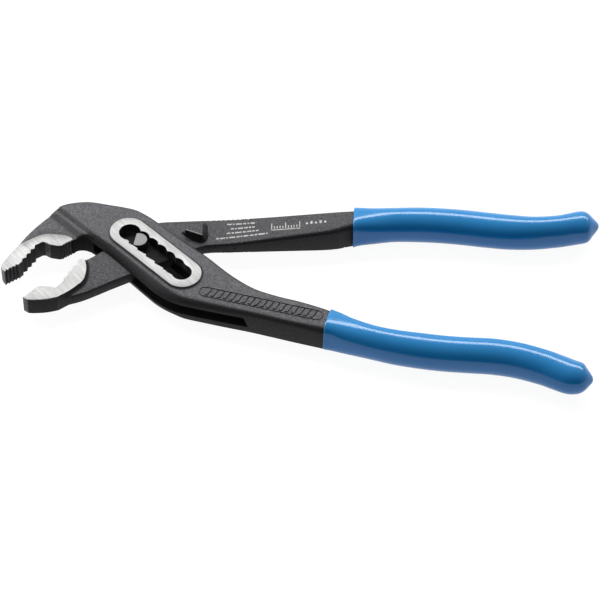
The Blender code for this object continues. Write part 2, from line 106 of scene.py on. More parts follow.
def curve(knots, step):
    """A Catmull-Rom curve through knots (any number of values each), about step apart."""
    p = np.array(knots, float)
    p = np.vstack([2 * p[0] - p[1], p, 2 * p[-1] - p[-2]])
    out = []
    for i in range(1, len(p) - 2):
        a, b, c, d = p[i - 1], p[i], p[i + 1], p[i + 2]
        count = max(1, int(round(np.linalg.norm((c - b)[:2]) / step)))
        for t in np.arange(count) / count:
            cubic = (2 * a - 5 * b + 4 * c - d) * t**2 + (3 * b - a - 3 * c + d) * t**3
            out.append(0.5 * (2 * b + (c - a) * t + cubic))
    out.append(p[-2])
    return [tuple(q) for q in out]


def teeth(start, end, count, depth, bite):
    """Steps cut to the left of the line from start to end, which passes their points."""
    a, b = np.array(start, float), np.array(end, float)
    t = (b - a) / np.linalg.norm(b - a)
    left = np.array([-t[1], t[0]])
    pitch = np.linalg.norm(b - a) / count
    out = []
    for i in range(count):
        tip = a + t * pitch * i
        out.append(tuple(tip))
        out.append(tuple(tip + t * pitch * bite + left * depth))
    return out


def edge(points, radius):
    return [(p[0], p[1], radius) for p in points]


def nearest(loop, points):
    """Distance from each point to a closed loop, and the loop's third value there."""
    a = np.asarray(loop, float)
    if a.shape[1] == 2:
        a = np.c_[a, np.zeros(len(a))]
    b = np.roll(a, -1, axis=0)
    ab = (b - a)[:, :2]
    length = np.maximum((ab**2).sum(1), 1e-12)
    best = np.full(len(points), 1e9)
    value = np.zeros(len(points))
    for i in range(len(a)):
        t = np.clip(((points - a[i, :2]) @ ab[i]) / length[i], 0, 1)
        d = np.linalg.norm(points - (a[i, :2] + t[:, None] * ab[i]), axis=1)
        closer = d < best
        best[closer] = d[closer]
        value[closer] = (a[i, 2] + (b[i, 2] - a[i, 2]) * t)[closer]
    return best, value


def inside(loop, points):
    loop = np.asarray(loop, float)
    odd = np.zeros(len(points), bool)
    for (x0, y0), (x1, y1) in zip(loop[:, :2], np.roll(loop, -1, axis=0)[:, :2]):
        if y0 == y1:
            continue
        crosses = (points[:, 1] > min(y0, y1)) & (points[:, 1] <= max(y0, y1))
        at = x0 + (points[:, 1] - y0) * (x1 - x0) / (y1 - y0)
        odd ^= crosses & (points[:, 0] < at)
    return odd


def outside_by(loop, points):
    """Distance beyond a closed loop; 0 inside it."""
    away, _ = nearest(loop, points)
    return np.where(inside(loop, points), 0.0, away)


def normals(loop):
    """Inward normals of a counter-clockwise loop, long enough to keep its sides parallel."""
    ahead = np.roll(loop, -1, axis=0)[:, :2] - loop[:, :2]
    ahead /= np.maximum(np.linalg.norm(ahead, axis=1), 1e-9)[:, None]
    both = ahead + np.roll(ahead, 1, axis=0)
    both /= np.maximum((both * ahead).sum(axis=1), 0.5)[:, None]
    return np.stack([-both[:, 1], both[:, 0]], axis=1)


def grown(loop, distance):
    """A closed loop moved outwards."""
    loop = np.array(loop, float)[:, :2]
    x, y = loop[:, 0], loop[:, 1]
    turn = 1 if (x * np.roll(y, -1) - np.roll(x, -1) * y).sum() > 0 else -1
    return [tuple(p) for p in loop - normals(loop) * distance * turn]


def closed(loop):
    return list(loop) + [loop[0]]


def shifted(line, distance):
    """An open run of points moved to its left."""
    p = np.array(line, float)
    way = np.gradient(p, axis=0)
    way /= np.linalg.norm(way, axis=1)[:, None]
    return [tuple(q) for q in p + np.stack([-way[:, 1], way[:, 0]], axis=1) * distance]


def spaced(line, step):
    """A run of points with more added along its straight pieces, at most step apart."""
    out = []
    for a, b in zip(line[:-1], line[1:]):
        count = max(1, math.ceil(math.hypot(b[0] - a[0], b[1] - a[1]) / step))
        for k in range(count):
            out.append((a[0] + (b[0] - a[0]) * k / count, a[1] + (b[1] - a[1]) * k / count))
    out.append((line[-1][0], line[-1][1]))
    return out


def crossing(places, low, high):
    """Lines across a lever, at these places along it."""
    return [[(x, low), (x, high)] for x in places]


def ramp(value, start, end):
    return np.clip((value - start) / (end - start), 0, 1)


def smooth(value, start, end):
    t = ramp(value, start, end)
    return t * t * (3 - 2 * t)


# --- meshes ----------------------------------------------------------------------------


def mesh_object(name, verts, faces, mats, indices=None, angle=34):
    mesh = bpy.data.meshes.new(name)
    at = (np.array(verts, float) - SHIFT) * MM
    mesh.from_pydata([tuple(p) for p in at], [], faces)
    for mat in mats:
        mesh.materials.append(mat)
    if indices is not None:
        mesh.polygons.foreach_set("material_index", np.array(indices, np.int32))
    mesh.update()
    mesh.shade_smooth()
    mesh.set_sharp_from_angle(angle=math.radians(angle))
    obj = bpy.data.objects.new(name, mesh)
    bpy.context.scene.collection.objects.link(obj)
    return obj


# Rows of points across a rounded edge, as shares of its radius
RINGS = [1 - math.cos(math.radians(a)) for a in (18, 36, 54, 72, 90)]


def forging(
    name, loop, height, mats, pick=None, holes=(), lines=(), under=None, low_edge=1.0, low_move=None
):
    """A piece with an upper and a lower face, and a wall between their outlines.

    loop is its counter-clockwise outline of (x, y, edge radius). height gives the half
    thickness before the edges are rounded, and under the same for the lower side, where
    the radii are low_edge times as large. pick gives each face's material from its middle,
    its side (1 top, -1 under, 0 wall) and a wall's outward way. low_move moves the lower
    side's points sideways.
    """
    loop = np.array(loop, float)
    holes = [np.array(h, float)[:, :2] for h in holes]
    points = [loop[:, :2], *holes]
    pairs = []
    base = 0
    for part in points:
        n = len(part)
        pairs += [(base + i, base + (i + 1) % n) for i in range(n)]
        base += n
    for line in lines:
        line = np.array(spaced(line, 1.3), float)
        points.append(line)
        pairs += [(base + i, base + i + 1) for i in range(len(line) - 1)]
        base += len(line)
    inward = normals(loop)
    for share in RINGS:
        depth = loop[:, 2] * share
        wanted = depth > 0.04
        ring = (loop[:, :2] + inward * depth[:, None])[wanted]
        depth = depth[wanted]
        if len(ring) == 0:
            continue
        away, _ = nearest(loop, ring)
        points.append(ring[(away > 0.97 * depth) & inside(loop, ring)])
    flat = np.vstack(points)
    found = delaunay_2d_cdt([tuple(p) for p in flat], pairs, [], 0, 0.004)
    xy = np.array([tuple(v) for v in found[0]])
    tri = np.array([f for f in found[2] if len(f) == 3])
    middle = xy[tri].mean(axis=1)
    keep = inside(loop, middle)
    for hole in holes:
        keep &= ~inside(hole, middle)
    tri = tri[keep]
    a, b, c = (xy[tri[:, i]] for i in range(3))
    area = (b - a)[:, 0] * (c - a)[:, 1] - (b - a)[:, 1] * (c - a)[:, 0]
    tri[area < 0] = tri[area < 0][:, ::-1]
    used = np.unique(tri)
    index = np.full(len(xy), -1)
    index[used] = np.arange(len(used))
    xy, tri = xy[used], index[tri]
    depth, radius = nearest(loop, xy)
    radius = np.maximum(radius, 1e-6)

    def rounding(r):
        into = np.clip(r - depth, 0, r)
        return np.where(depth < r, r - np.sqrt(np.maximum(r**2 - into**2, 0)), 0)

    high = height(xy[:, 0], xy[:, 1])
    low = high if under is None else under(xy[:, 0], xy[:, 1])
    high = high - rounding(radius)
    low = low - rounding(radius * low_edge)
    below = xy if low_move is None else low_move(xy)
    verts = [(x, y, h) for (x, y), h in zip(xy, high)]
    verts += [(x, y, -h) for (x, y), h in zip(below, low)]
    n = len(xy)
    faces = [tuple(int(k) for k in t) for t in tri]
    faces += [tuple(int(k) + n for k in t[::-1]) for t in tri]
    directed = {(int(t[i]), int(t[(i + 1) % 3])) for t in tri for i in range(3)}
    walls = [(i, j) for i, j in sorted(directed) if (j, i) not in directed]
    faces += [(j, i, i + n, j + n) for i, j in walls]
    indices = None
    if pick:
        middle = xy[tri].mean(axis=1)
        ends = np.array([(xy[i] + xy[j]) / 2 for i, j in walls])
        way = np.array([(xy[j] - xy[i])[::-1] * (1, -1) for i, j in walls])
        way /= np.linalg.norm(way, axis=1)[:, None]
        indices = [*pick(middle, 1, None), *pick(middle, -1, None), *pick(ends, 0, way)]
    return mesh_object(name, verts, faces, mats, indices)


def prism(name, outline, z0, z1, lean=None, mats=(), index=0):
    """A straight cutter; lean is its outline at z0 where that differs."""
    n = len(outline)
    low = outline if lean is None else lean
    verts = [(x, y, z0) for x, y in low] + [(x, y, z1) for x, y in outline]
    faces = [tuple(range(n - 1, -1, -1)), tuple(range(n, 2 * n))]
    faces += [(i, (i + 1) % n, n + (i + 1) % n, n + i) for i in range(n)]
    return mesh_object(name, verts, faces, mats, [index] * len(faces))


def cut(obj, cutter):
    """Cuts obj now, and removes the cutter."""
    modifier = obj.modifiers.new("cut", "BOOLEAN")
    modifier.operation = "DIFFERENCE"
    modifier.solver = "EXACT"
    modifier.object = cutter
    graph = bpy.context.evaluated_depsgraph_get()
    mesh = bpy.data.meshes.new_from_object(obj.evaluated_get(graph))
    obj.modifiers.clear()
    obj.data = mesh
    mesh.set_sharp_from_angle(angle=math.radians(40))
    bpy.data.objects.remove(cutter, do_unlink=True)


# --- outlines --------------------------------------------------------------------------


def slot_outline():
    """Assembly hole, scalloped back side, end radius and saw-toothed front side."""
    cusps = [PITCH * (k + 0.54) for k in range(-1, POSITIONS - 1)]
    out = []
    lift = CLEAR - math.sqrt(SCALLOP_R**2 - (PITCH / 2) ** 2)
    for k in range(len(cusps) - 1):
        mid = (cusps[k] + cusps[k + 1]) / 2
        for t in np.linspace(-PITCH / 2, PITCH / 2, 13)[:-1]:
            out.append(along_slot(mid + t, lift + math.sqrt(SCALLOP_R**2 - t**2)))
    end = PITCH * (POSITIONS - 1)
    start = math.degrees(math.asin(CLEAR / END_R))
    for a in np.radians(np.linspace(180 - start - 6, -(180 - start - 8), 40)):
        out.append(along_slot(end + END_R * math.cos(a), END_R * math.sin(a)))
    for k in range(POSITIONS - 1, -2, -1):
        tip = PITCH * (k - 0.3)
        if k < POSITIONS - 1:
            out.append(along_slot(tip + 0.4, -CLEAR - 0.8))
        out.append(along_slot(tip, -CLEAR))
    out = out[:-2]
    low = math.degrees(math.asin(CLEAR / HOLE_R))
    for a in np.radians(np.linspace(-low, -360 + low, 60)):
        out.append(along_slot(-PITCH + HOLE_R * math.cos(a), HOLE_R * math.sin(a)))
    return out[::-1]


def stadium(extra, count=48):
    """The ground ring's outline round the slot, grown by extra."""
    turn = math.degrees(SLOT_ANGLE)
    first = arc(along_slot(RING_ENDS[1]), RING_R + extra, turn - 90, turn + 90, count)
    second = arc(along_slot(RING_ENDS[0]), RING_R + extra, turn + 90, turn + 270, count)
    return first + second


OUTER_AXIS = [(20, -13.9), (30, -17.4), (40, -20.2), (50, -22.1), (60, -23.6), (70, -24.5)]
OUTER_AXIS += [(80, -25.3), (90, -27.4), (98, -30.2)]
INNER_AXIS = [(31, 49.0), (40, 49.8), (50, 49.9), (60, 49.4), (70, 48.3), (80, 46.8)]
INNER_AXIS += [(90, 45.5), (100, 45.1), (108, 45.7)]


def tang(axis, half, radius):
    """The bar inside a grip: out along the front side, round the end, back along the other."""
    line = np.array(axis, float)
    way = np.gradient(line, axis=0)
    way /= np.linalg.norm(way, axis=1)[:, None]
    side = np.stack([-way[:, 1], way[:, 0]], axis=1)
    front = [tuple(p) + (radius,) for p in line - side * half]
    back = [tuple(p) + (radius,) for p in line + side * half]
    tip = tuple(line[-1] + way[-1] * half * 0.7) + (radius,)
    return front, [tip], back[::-1]


def outer_outline(step):
    front_tang, tip, back_tang = tang(OUTER_AXIS, TANG_HALF, TANG_EDGE)
    nose = teeth((-124.55, 18.55), (-117.6, 23.4), 5, 0.62, 0.9)
    steps = teeth((-117.5, 24.2), (-111.0, 34.6), 4, 0.95, 0.53)
    gullet = curve([(-110.9, 34.9), (-110.0, 35.6), (-108.6, 35.7), (-107.2, 34.8)], 0.4)
    bulge = curve([(-106.2, 34.2), (-104.2, 33.8), (-102.4, 33.5), (-101.0, 33.9)], 0.5)
    back_teeth = teeth((-101.0, 33.7), (-96.7, 36.7), 4, 0.5, 0.88)
    jaw = edge(nose + steps + gullet + bulge + back_teeth, GROUND_EDGE)
    front = [(-96.6, 36.8, 0.2), (-95.3, 37.8, 0.3), (-93.0, 38.9, 0.6), (-91.0, 38.8, 1.1)]
    front += [(-89.0, 37.6, 1.8), (-87.0, 35.7, 2.6), (-80.0, 28.7, 3.3)]
    front += [(-72.2, 20.0, 3.4), (-63.4, 10.2, 3.4), (-60.0, 6.8, 3.4)]
    front += [(-55.0, 3.3, 3.3), (-50.0, 1.0, 3.1), (-40.0, -1.9, EDGE_FRONT)]
    front += [(-30.0, -4.6, 2.5), (-20.0, -7.2, 2.2), (-3.0, -12.4, 2.1)]
    front += [(10.5, -16.5, EDGE_FRONT), *front_tang]
    back = [*back_tang, (11.9, -3.8, EDGE_BACK), (0.3, 1.0, EDGE_BACK), (-9.7, 4.3, EDGE_BACK)]
    back += [(-19.5, 8.7, EDGE_BACK), (-29.3, 16.5, EDGE_BACK), (-39.3, 26.7, EDGE_BACK)]
    back += [(-49.3, 35.9, EDGE_BACK), (-60.3, 46.3, EDGE_BACK), (-64.4, 50.0, EDGE_BACK)]
    back += [(-69.8, 53.8, EDGE_BACK), (-75.0, 55.6, EDGE_BACK), (-82.0, 57.2, EDGE_BACK)]
    back += [(-90.0, 58.85, EDGE_BACK), (-96.0, 58.6, EDGE_BACK), (-101.0, 57.3, 1.9)]
    back += [(-104.6, 54.9, 1.6), (-110.4, 48.5, 1.2), (-115.6, 41.6, 1.0), (-119.0, 35.4, 0.4)]
    back += [(-119.6, 34.0, 0.2), (-123.0, 28.6, 0.2), (-125.4, 24.2, 0.2), (-126.3, 21.7, 0.2)]
    back += [(-125.8, 20.4, 0.2)]
    return jaw + curve(front, step) + tip + curve(back, step)


def inner_outline(step):
    front_tang, tip, back_tang = tang(INNER_AXIS, TANG_HALF, TANG_EDGE)
    low = [(-116.0, 4.3, 0.05), (-115.0, 3.55, 0.05), (-114.0, 2.8, 0.05), (-113.4, 2.68, 0.1)]
    low += [(-112.0, 2.6, 0.2), (-108.0, 2.8, 0.2)]
    low += [(-105.0, 3.3, 0.2), (-101.5, 4.3, 0.2), (-98.0, 5.4, 0.3), (-95.0, 6.3, 0.6)]
    low += [(-92.0, 7.4, 0.8), (-88.0, 9.4, 0.8), (-80.0, 14.0, 0.8), (-72.3, 18.2, 0.8)]
    low += [(-60.0, 24.7, 0.8), (-50.0, 30.2, 0.8), (-42.5, 34.3, 0.8), (-38.0, 35.4, 0.8)]
    low += [(-30.0, 35.8, 0.9), (-20.0, 36.7, 1.2), (-10.0, 37.7, 1.5), (0.0, 38.7, 1.7)]
    low += [(10.0, 39.8, 1.7), (16.0, 40.8, 2.1), (22.0, 42.6, 2.3), *front_tang]
    high = [*back_tang, (22.0, 53.0, 1.9), (10.0, 52.6, 1.9), (0.0, 52.2, 1.8), (-10.0, 51.7, 1.5)]
    high += [(-20.0, 51.3, 1.2), (-31.0, 50.9, 0.9), (-40.0, 50.5, 0.8), (-50.0, 50.0, 0.8)]
    high += [(-60.7, 49.2, 0.8), (-67.0, 46.4, 0.8), (-74.0, 40.8, 0.8), (-81.0, 35.0, 0.8)]
    high += [(-87.6, 29.6, 0.8), (-90.4, 27.4, 0.4), (-92.2, 26.3, 0.2)]
    steps = teeth((-93.9, 25.2), (-101.2, 12.0), 4, 0.78, 0.47)
    nose = [(-101.7, 10.6), (-102.4, 9.8), (-105.0, 10.2), (-108.6, 10.5), (-110.6, 10.1)]
    nose += teeth((-111.4, 9.3), (-115.6, 4.6), 4, 0.35, 0.35)
    return curve(low, step) + tip + curve(high, step) + edge(steps + nose, GROUND_EDGE)


JAW_LINE = curve(
    [(-119.3, 34.4), (-115.0, 37.2), (-110.5, 39.9), (-107.0, 40.6), (-103.0, 40.2),
     (-100.0, 39.8), (-98.0, 38.9), (-96.7, 37.5), (-96.6, 36.6)], 0.8
)
LOWER_LINE = curve(
    [(-101.5, 4.3), (-97.0, 7.7), (-94.0, 10.6), (-91.8, 13.0), (-90.7, 15.5),
     (-90.2, 20.0), (-90.4, 23.0), (-91.0, 25.2), (-92.0, 26.3)], 0.9
)
UPPER_GROUND = [(-130, 10), (-96.58, 10), *JAW_LINE[::-1], (-130, 40)]
LOWER_GROUND = [(-130, -10), (-101.5, -10), *LOWER_LINE, (-92.0, 40), (-130, 40)]
# Across the shoulder between jaw and body, x + y against half thickness
SHOULDER = [(-57.2, 3.9), (-56.6, 3.94), (-55.8, 4.1), (-53.4, 4.78), (-52.5, 4.98)]
SHOULDER += [(-51.8, 5.05), (-50.9, 5.09), (-50.3, 5.2), (-48.4, 5.86), (-47.6, 5.97), (-46.9, 6.0)]
JAW_END = -57.3
# Beyond the ring: distance and height
RING_WALL = [(0.0, 0.8), (0.08, 0.77), (0.3, 0.5), (0.6, 0.27), (1.0, 0.11), (1.4, 0.03), (1.8, 0.0)]
SLOT = slot_outline()


def rise_over(points, loop, profile):
    """Extra height from a profile of (distance beyond the loop, height)."""
    away = outside_by(loop, points)
    d, h = zip(*profile)
    return np.interp(away, d, h)


# Panel on the outer lever: a raised rim round a row of slanted ribs
PANEL = ((-39.6, 5.7), (6.9, -7.5))
PANEL_HALF = 2.55
RIM = [(0.0, 0.0), (0.22, 0.3), (0.42, 0.3), (0.64, 0.0)]
RIBS = 18
RIB_HALF = (0.42, 1.8)
RIB_LEAN = 0.28
RIB_FOOT = 0.28
RIB_HEIGHT = 0.42


def panel_frame():
    a, b = np.array(PANEL[0]), np.array(PANEL[1])
    along = (b - a) / np.linalg.norm(b - a)
    return a, b, along, np.array([-along[1], along[0]])


def panel_loop(half, count=14):
    a, b, along, _ = panel_frame()
    turn = math.degrees(math.atan2(along[1], along[0]))
    first = arc(b, half, turn - 90, turn + 90, count)
    return first + arc(a, half, turn + 90, turn + 270, count)


def rib_loops(grow):
    """Slanted bars along the panel."""
    a, b, along, across = panel_frame()
    length = np.linalg.norm(b - a)
    out = []
    for k in range(RIBS):
        centre = a + along * (length * (k + 0.5) / RIBS)
        w, h = RIB_HALF[0] + grow, RIB_HALF[1] + grow
        corners = []
        for u, v in ((-w, -h), (w, -h), (w, h), (-w, h)):
            corners.append(tuple(centre + along * (u + RIB_LEAN * v) + across * v))
        out.append(corners)
    return out


RIB_TOPS = rib_loops(0.0)
RIB_FEET = rib_loops(RIB_FOOT)
RIM_LOOPS = [panel_loop(PANEL_HALF - 0.32 + d) for d, _ in RIM]


def panel_height(points):
    """Height that the rim and the ribs add."""
    rim = RIM_LOOPS[0]
    away = outside_by(rim, points)
    d, h = zip(*RIM)
    extra = np.where(away > 0, np.interp(away, d, h, right=0.0), 0.0)
    near = inside(rim, points)
    for top, foot in zip(RIB_TOPS, RIB_FEET):
        at = near & inside(foot, points)
        if not at.any():
            continue
        away = outside_by(top, points[at])
        extra[at] = np.maximum(extra[at], RIB_HEIGHT * (1 - ramp(away, 0.01, RIB_FOOT - 0.01)))
    return extra


def under_height(x, y):
    """The outer lever's half thickness without the panel, as on its underside."""
    points = np.stack([x, y], axis=1)
    total, level = zip(*SHOULDER)
    z = np.interp(x + y, total, level)
    away = outside_by(UPPER_GROUND, points)
    ground = JAW_GROUND - (JAW_GROUND - JAW_BLACK) * ramp(away, 0.02, GROUND_STEP)
    z = np.where((x + y < JAW_END) & (away < GROUND_STEP), ground, z)
    z = z + rise_over(points, stadium(0), RING_WALL)
    return z + (TANG - BODY) * ramp(x, *OUTER_TANG)


def outer_height(x, y):
    return under_height(x, y) + panel_height(np.stack([x, y], axis=1))


# The pinch stop: its flat top, its foot, and the edge that faces the body, which gets a painted highlight
STOP_TOP = [(-48.9, 41.4), (-41.6, 38.2), (-41.6, 45.4)]
STOP_BASE = [(-51.2, 43.1), (-46.0, 38.2), (-42.4, 37.0), (-40.2, 37.5)]
STOP_BASE += [(-39.0, 40.5), (-39.6, 47.6), (-41.4, 49.4)]
STOP_EDGE = [(-48.9, 41.4), (-41.6, 38.2), (-41.6, 38.6), (-48.6, 41.75)]
LOWER_STEP = 1.7
HANDLE_RISE = (-31.0, 20.0)


def knee(value, soft):
    """max(value, 0) with its corner rounded over soft each way."""
    rounded = (value + soft) ** 2 / (4 * soft)
    return np.where(value < -soft, 0, np.where(value > soft, value, rounded))


def inner_height(x, y):
    points = np.stack([x, y], axis=1)
    start, end = HANDLE_RISE
    grow = (knee(x - start, 9.0) - knee(x - end, 5.0)) / (end - start)
    z = NECK + (HANDLE - NECK) * grow
    z = z + (TANG - HANDLE) * ramp(x, *INNER_TANG)
    away = outside_by(LOWER_GROUND, points)
    step = (1 - ramp(away, 0.02, LOWER_STEP)) ** 2
    z = np.where(x < -80, NECK + (JAW_GROUND - NECK) * step, z)
    to_top = outside_by(STOP_TOP, points)
    to_top = np.where(to_top < 0.02, 0, to_top)
    to_base, _ = nearest(STOP_BASE, points)
    share = np.where(inside(STOP_BASE, points), to_base / np.maximum(to_base + to_top, 1e-6), 0)
    share = np.where(to_top == 0, 1, share)
    return z + (STOP - z) * (0.7 * share + 0.3 * smooth(share, 0, 1))


def between(first, second, share):
    """Points on the way from each point of one run to the nearest point of another loop."""
    loop = np.array(second, float)
    out = []
    for p in np.array(first, float):
        best = None
        for a, b in zip(loop, np.roll(loop, -1, axis=0)):
            t = np.clip((p - a) @ (b - a) / ((b - a) @ (b - a)), 0, 1)
            q = a + t * (b - a)
            if best is None or np.linalg.norm(p - q) < np.linalg.norm(p - best):
                best = q
        out.append(tuple(p + (best - p) * share))
    return out


def dense(loop, step):
    """A closed loop with points added along its straight sides."""
    out = []
    for (x0, y0), (x1, y1) in zip(loop, list(loop[1:]) + [loop[0]]):
        n = max(1, int(math.hypot(x1 - x0, y1 - y0) / step))
        out += [(x0 + (x1 - x0) * k / n, y0 + (y1 - y0) * k / n) for k in range(n)]
    return out


# --- materials -------------------------------------------------------------------------


class Nodes:
    """Short names for building a node tree."""

    def __init__(self, name):
        self.mat = bpy.data.materials.new(name)
        self.mat.use_nodes = True
        self.tree = self.mat.node_tree
        self.shader = self.tree.nodes["Principled BSDF"]
        self.coord = self.tree.nodes.new("ShaderNodeTexCoord")
        self.where = self.coord.outputs["Object"]

    def add(self, kind, **inputs):
        node = self.tree.nodes.new(kind)
        for key, value in inputs.items():
            self.put(node, key.replace("_", " "), value)
        return node

    def put(self, node, key, value):
        socket = node.inputs[key] if not key.isdigit() else node.inputs[int(key)]
        if isinstance(value, bpy.types.NodeSocket):
            self.tree.links.new(value, socket)
        else:
            socket.default_value = value

    def noise(self, size_mm, detail=2.0, rough=0.5, stretch=None, turn=0.0):
        """Noise with features of about that size; stretch scales its axes."""
        where = self.where
        if stretch:
            mapping = self.add("ShaderNodeMapping", Vector=where)
            mapping.vector_type = "TEXTURE"
            mapping.inputs["Rotation"].default_value = (0, 0, turn)
            mapping.inputs["Scale"].default_value = stretch
            where = mapping.outputs[0]
        node = self.add("ShaderNodeTexNoise", Vector=where, Scale=1000 / size_mm)
        node.inputs["Detail"].default_value = detail
        node.inputs["Roughness"].default_value = rough
        return node.outputs["Fac"]

    def upright(self):
        """How far the surface lies flat: 1 where it faces straight up or down."""
        parts = self.add("ShaderNodeSeparateXYZ", Vector=self.coord.outputs["Normal"])
        node = self.add("ShaderNodeMath")
        node.operation = "ABSOLUTE"
        self.tree.links.new(parts.outputs["Z"], node.inputs[0])
        return node.outputs[0]

    def span(self, value, low, high, start=0.0, end=1.0):
        node = self.add("ShaderNodeMapRange", Value=value)
        for key, number in (("From Min", low), ("From Max", high), ("To Min", start), ("To Max", end)):
            node.inputs[key].default_value = number
        return node.outputs[0]

    def blend(self, share, first, second):
        node = self.tree.nodes.new("ShaderNodeMix")
        node.data_type = "RGBA"
        self.put(node, "0", share)
        for slot, colour in ((6, first), (7, second)):
            if isinstance(colour, bpy.types.NodeSocket):
                self.tree.links.new(colour, node.inputs[slot])
            else:
                node.inputs[slot].default_value = (*colour, 1.0)
        return node.outputs[2]

    def bump(self, value, depth_mm, after=None):
        node = self.add("ShaderNodeBump", Height=value)
        node.inputs["Strength"].default_value = 1.0
        node.inputs["Distance"].default_value = depth_mm * MM
        if after is not None:
            self.tree.links.new(after, node.inputs["Normal"])
        return node.outputs[0]

    def set(self, **values):
        for key, value in values.items():
            self.put(self.shader, key.replace("_", " "), value)


def scaled(colour, gain):
    return tuple(c * gain for c in colour)


def forged_black(name, gain, shine, dark=True):
    """Blasted on the flat faces and, if dark, painted shade: a darker colour where the forging turns down
    from flat.
    """
    m = Nodes(name)
    flat = m.span(m.upright(), 0.91, 0.992)
    grain = m.noise(0.7, 4.0, 0.75)
    patch = m.noise(14.0, 2.0, 0.5)
    share = m.span(grain, 0.38, 0.62)
    colour = m.blend(share, scaled((0.014, 0.014, 0.016), gain), scaled((0.068, 0.067, 0.075), gain))
    mottle = m.span(patch, 0.35, 0.7, 0.0, 0.35)
    colour = m.blend(mottle, colour, scaled((0.034, 0.034, 0.037), gain))
    # Painted shade: a darker colour on surfaces that turn away from flat
    turned_shade = m.blend(share, (0.007, 0.007, 0.008), (0.013, 0.013, 0.014))
    m.set(Base_Color=m.blend(flat, turned_shade, colour) if dark else colour)
    m.set(Roughness=m.span(grain, 0.3, 0.7, 0.62, 0.36))
    m.set(Specular_IOR_Level=m.span(flat, 0.0, 1.0, 0.17, shine))
    rough = m.bump(grain, 0.14)
    m.set(Normal=m.bump(m.noise(3.5, 1.0), 0.03, rough))
    return m.mat


# Near-black painted shade, for walls and faces in the slot, the opening, the recess by the jaws and round
# the pin
def painted_shade_black():
    m = Nodes("painted_shade_black")
    grain = m.noise(0.6, 3.0)
    m.set(Base_Color=m.blend(grain, (0.004, 0.004, 0.004), (0.022, 0.021, 0.021)))
    m.set(Roughness=m.span(grain, 0.3, 0.7, 0.7, 0.9), Specular_IOR_Level=0.06)
    m.set(Normal=m.bump(grain, 0.02))
    return m.mat


def ground_steel(name, gain):
    m = Nodes(name)
    lines = m.noise(0.45, 2.0, 0.6, stretch=(1.0, 26.0, 1.0), turn=math.radians(37))
    patch = m.noise(12.0, 1.0)
    share = m.span(lines, 0.3, 0.7)
    colour = m.blend(share, scaled((0.165, 0.165, 0.164), gain), scaled((0.25, 0.25, 0.247), gain))
    m.set(Base_Color=colour, Metallic=0.85)
    m.set(Roughness=m.span(patch, 0.3, 0.7, 0.45, 0.53))
    m.set(Normal=m.bump(lines, 0.008))
    return m.mat


def pin_steel():
    m = Nodes("pin_steel")
    grain = m.noise(0.5, 2.0)
    m.set(Base_Color=m.blend(grain, (0.08, 0.08, 0.08), (0.11, 0.11, 0.108)), Metallic=0.5)
    m.set(Roughness=m.span(grain, 0.3, 0.7, 0.38, 0.5))
    m.set(Normal=m.bump(grain, 0.008))
    return m.mat


def blue_vinyl():
    m = Nodes("blue_vinyl")
    tint = m.noise(22.0, 2.0)
    # Painted shade: where the sleeve faces up its colour is darker and less saturated than on its sides
    side = m.blend(tint, (0.002, 0.122, 0.350), (0.004, 0.137, 0.392))
    top = m.blend(tint, (0.002, 0.102, 0.255), (0.004, 0.116, 0.285))
    m.set(Base_Color=m.blend(m.span(m.upright(), 0.25, 0.9), side, top))
    m.set(Roughness=m.span(m.noise(1.6, 3.0), 0.3, 0.7, 0.15, 0.20), Specular_IOR_Level=0.42)
    ripple = m.bump(m.noise(7.0, 1.0), 0.022)
    m.set(Normal=m.bump(m.noise(0.7, 2.0), 0.002, ripple))
    return m.mat


def white_print():
    m = Nodes("white_print")
    grain = m.noise(0.5, 2.0)
    m.set(Base_Color=m.blend(m.span(grain, 0.35, 0.6), (0.13, 0.13, 0.13), (0.29, 0.29, 0.28)))
    m.set(Roughness=0.6)
    return m.mat


BLACK = forged_black("forged_black", 0.84, 0.25)
INNER_BLACK = forged_black("forged_black_inner", 0.6, 0.2)
# A lighter copy, for painted light on left-facing walls by the jaw tips and a painted highlight on the
# stop's edge
PAINTED_LIGHT = forged_black("painted_light_black", 2.2, 0.3, dark=False)
SHADE_BLACK = painted_shade_black()
# A darker copy, for painted shade on the pinch stop's flank
STOP_FLANK_SHADE = forged_black("painted_shade_flank", 0.22, 0.2, dark=False)
STEEL = ground_steel("ground_steel", 1.08)
PALE_STEEL = ground_steel("ground_steel_fine", 1.04)
PIN_STEEL = pin_steel()
BLUE = blue_vinyl()
PRINT = white_print()
OUTER_MATS = [BLACK, STEEL, SHADE_BLACK, PAINTED_LIGHT]
INNER_MATS = [INNER_BLACK, PALE_STEEL, PRINT, SHADE_BLACK, PAINTED_LIGHT, STOP_FLANK_SHADE]

# --- levers ----------------------------------------------------------------------------


def lit_left_walls(points, way, end):
    """The walls near a jaw's tip that face left, which get painted light."""
    return (points[:, 0] < end) & (way @ (-0.8, -0.6) > 0.87)


def pick_outer(points, side, way):
    if side == 0:
        near, _ = nearest(SLOT, points)
        # Painted shade on the walls along the slot and on the walls of the recess between jaw and body
        recess = (points[:, 0] > -97) & (points[:, 0] < -72) & (points[:, 1] < 40)
        kind = np.where((near < 0.3) | recess, OUTER_MATS.index(SHADE_BLACK), OUTER_MATS.index(BLACK))
        # Painted light on the walls near the jaw's tip that face left
        return np.where(lit_left_walls(points, way, -96), OUTER_MATS.index(PAINTED_LIGHT), kind)
    ground = inside(UPPER_GROUND, points) & (points[:, 0] < -96.5)
    bright = ground | inside(stadium(0.1), points)
    return np.where(bright, OUTER_MATS.index(STEEL), OUTER_MATS.index(BLACK))


# Where the inner lever shows through the slot; it is painted with shade there
JOINT_ZONE = [along_slot(u, v) for u, v in ((-13.0, -6.8), (20.0, -6.8), (20.0, 6.8), (-13.0, 6.8))]


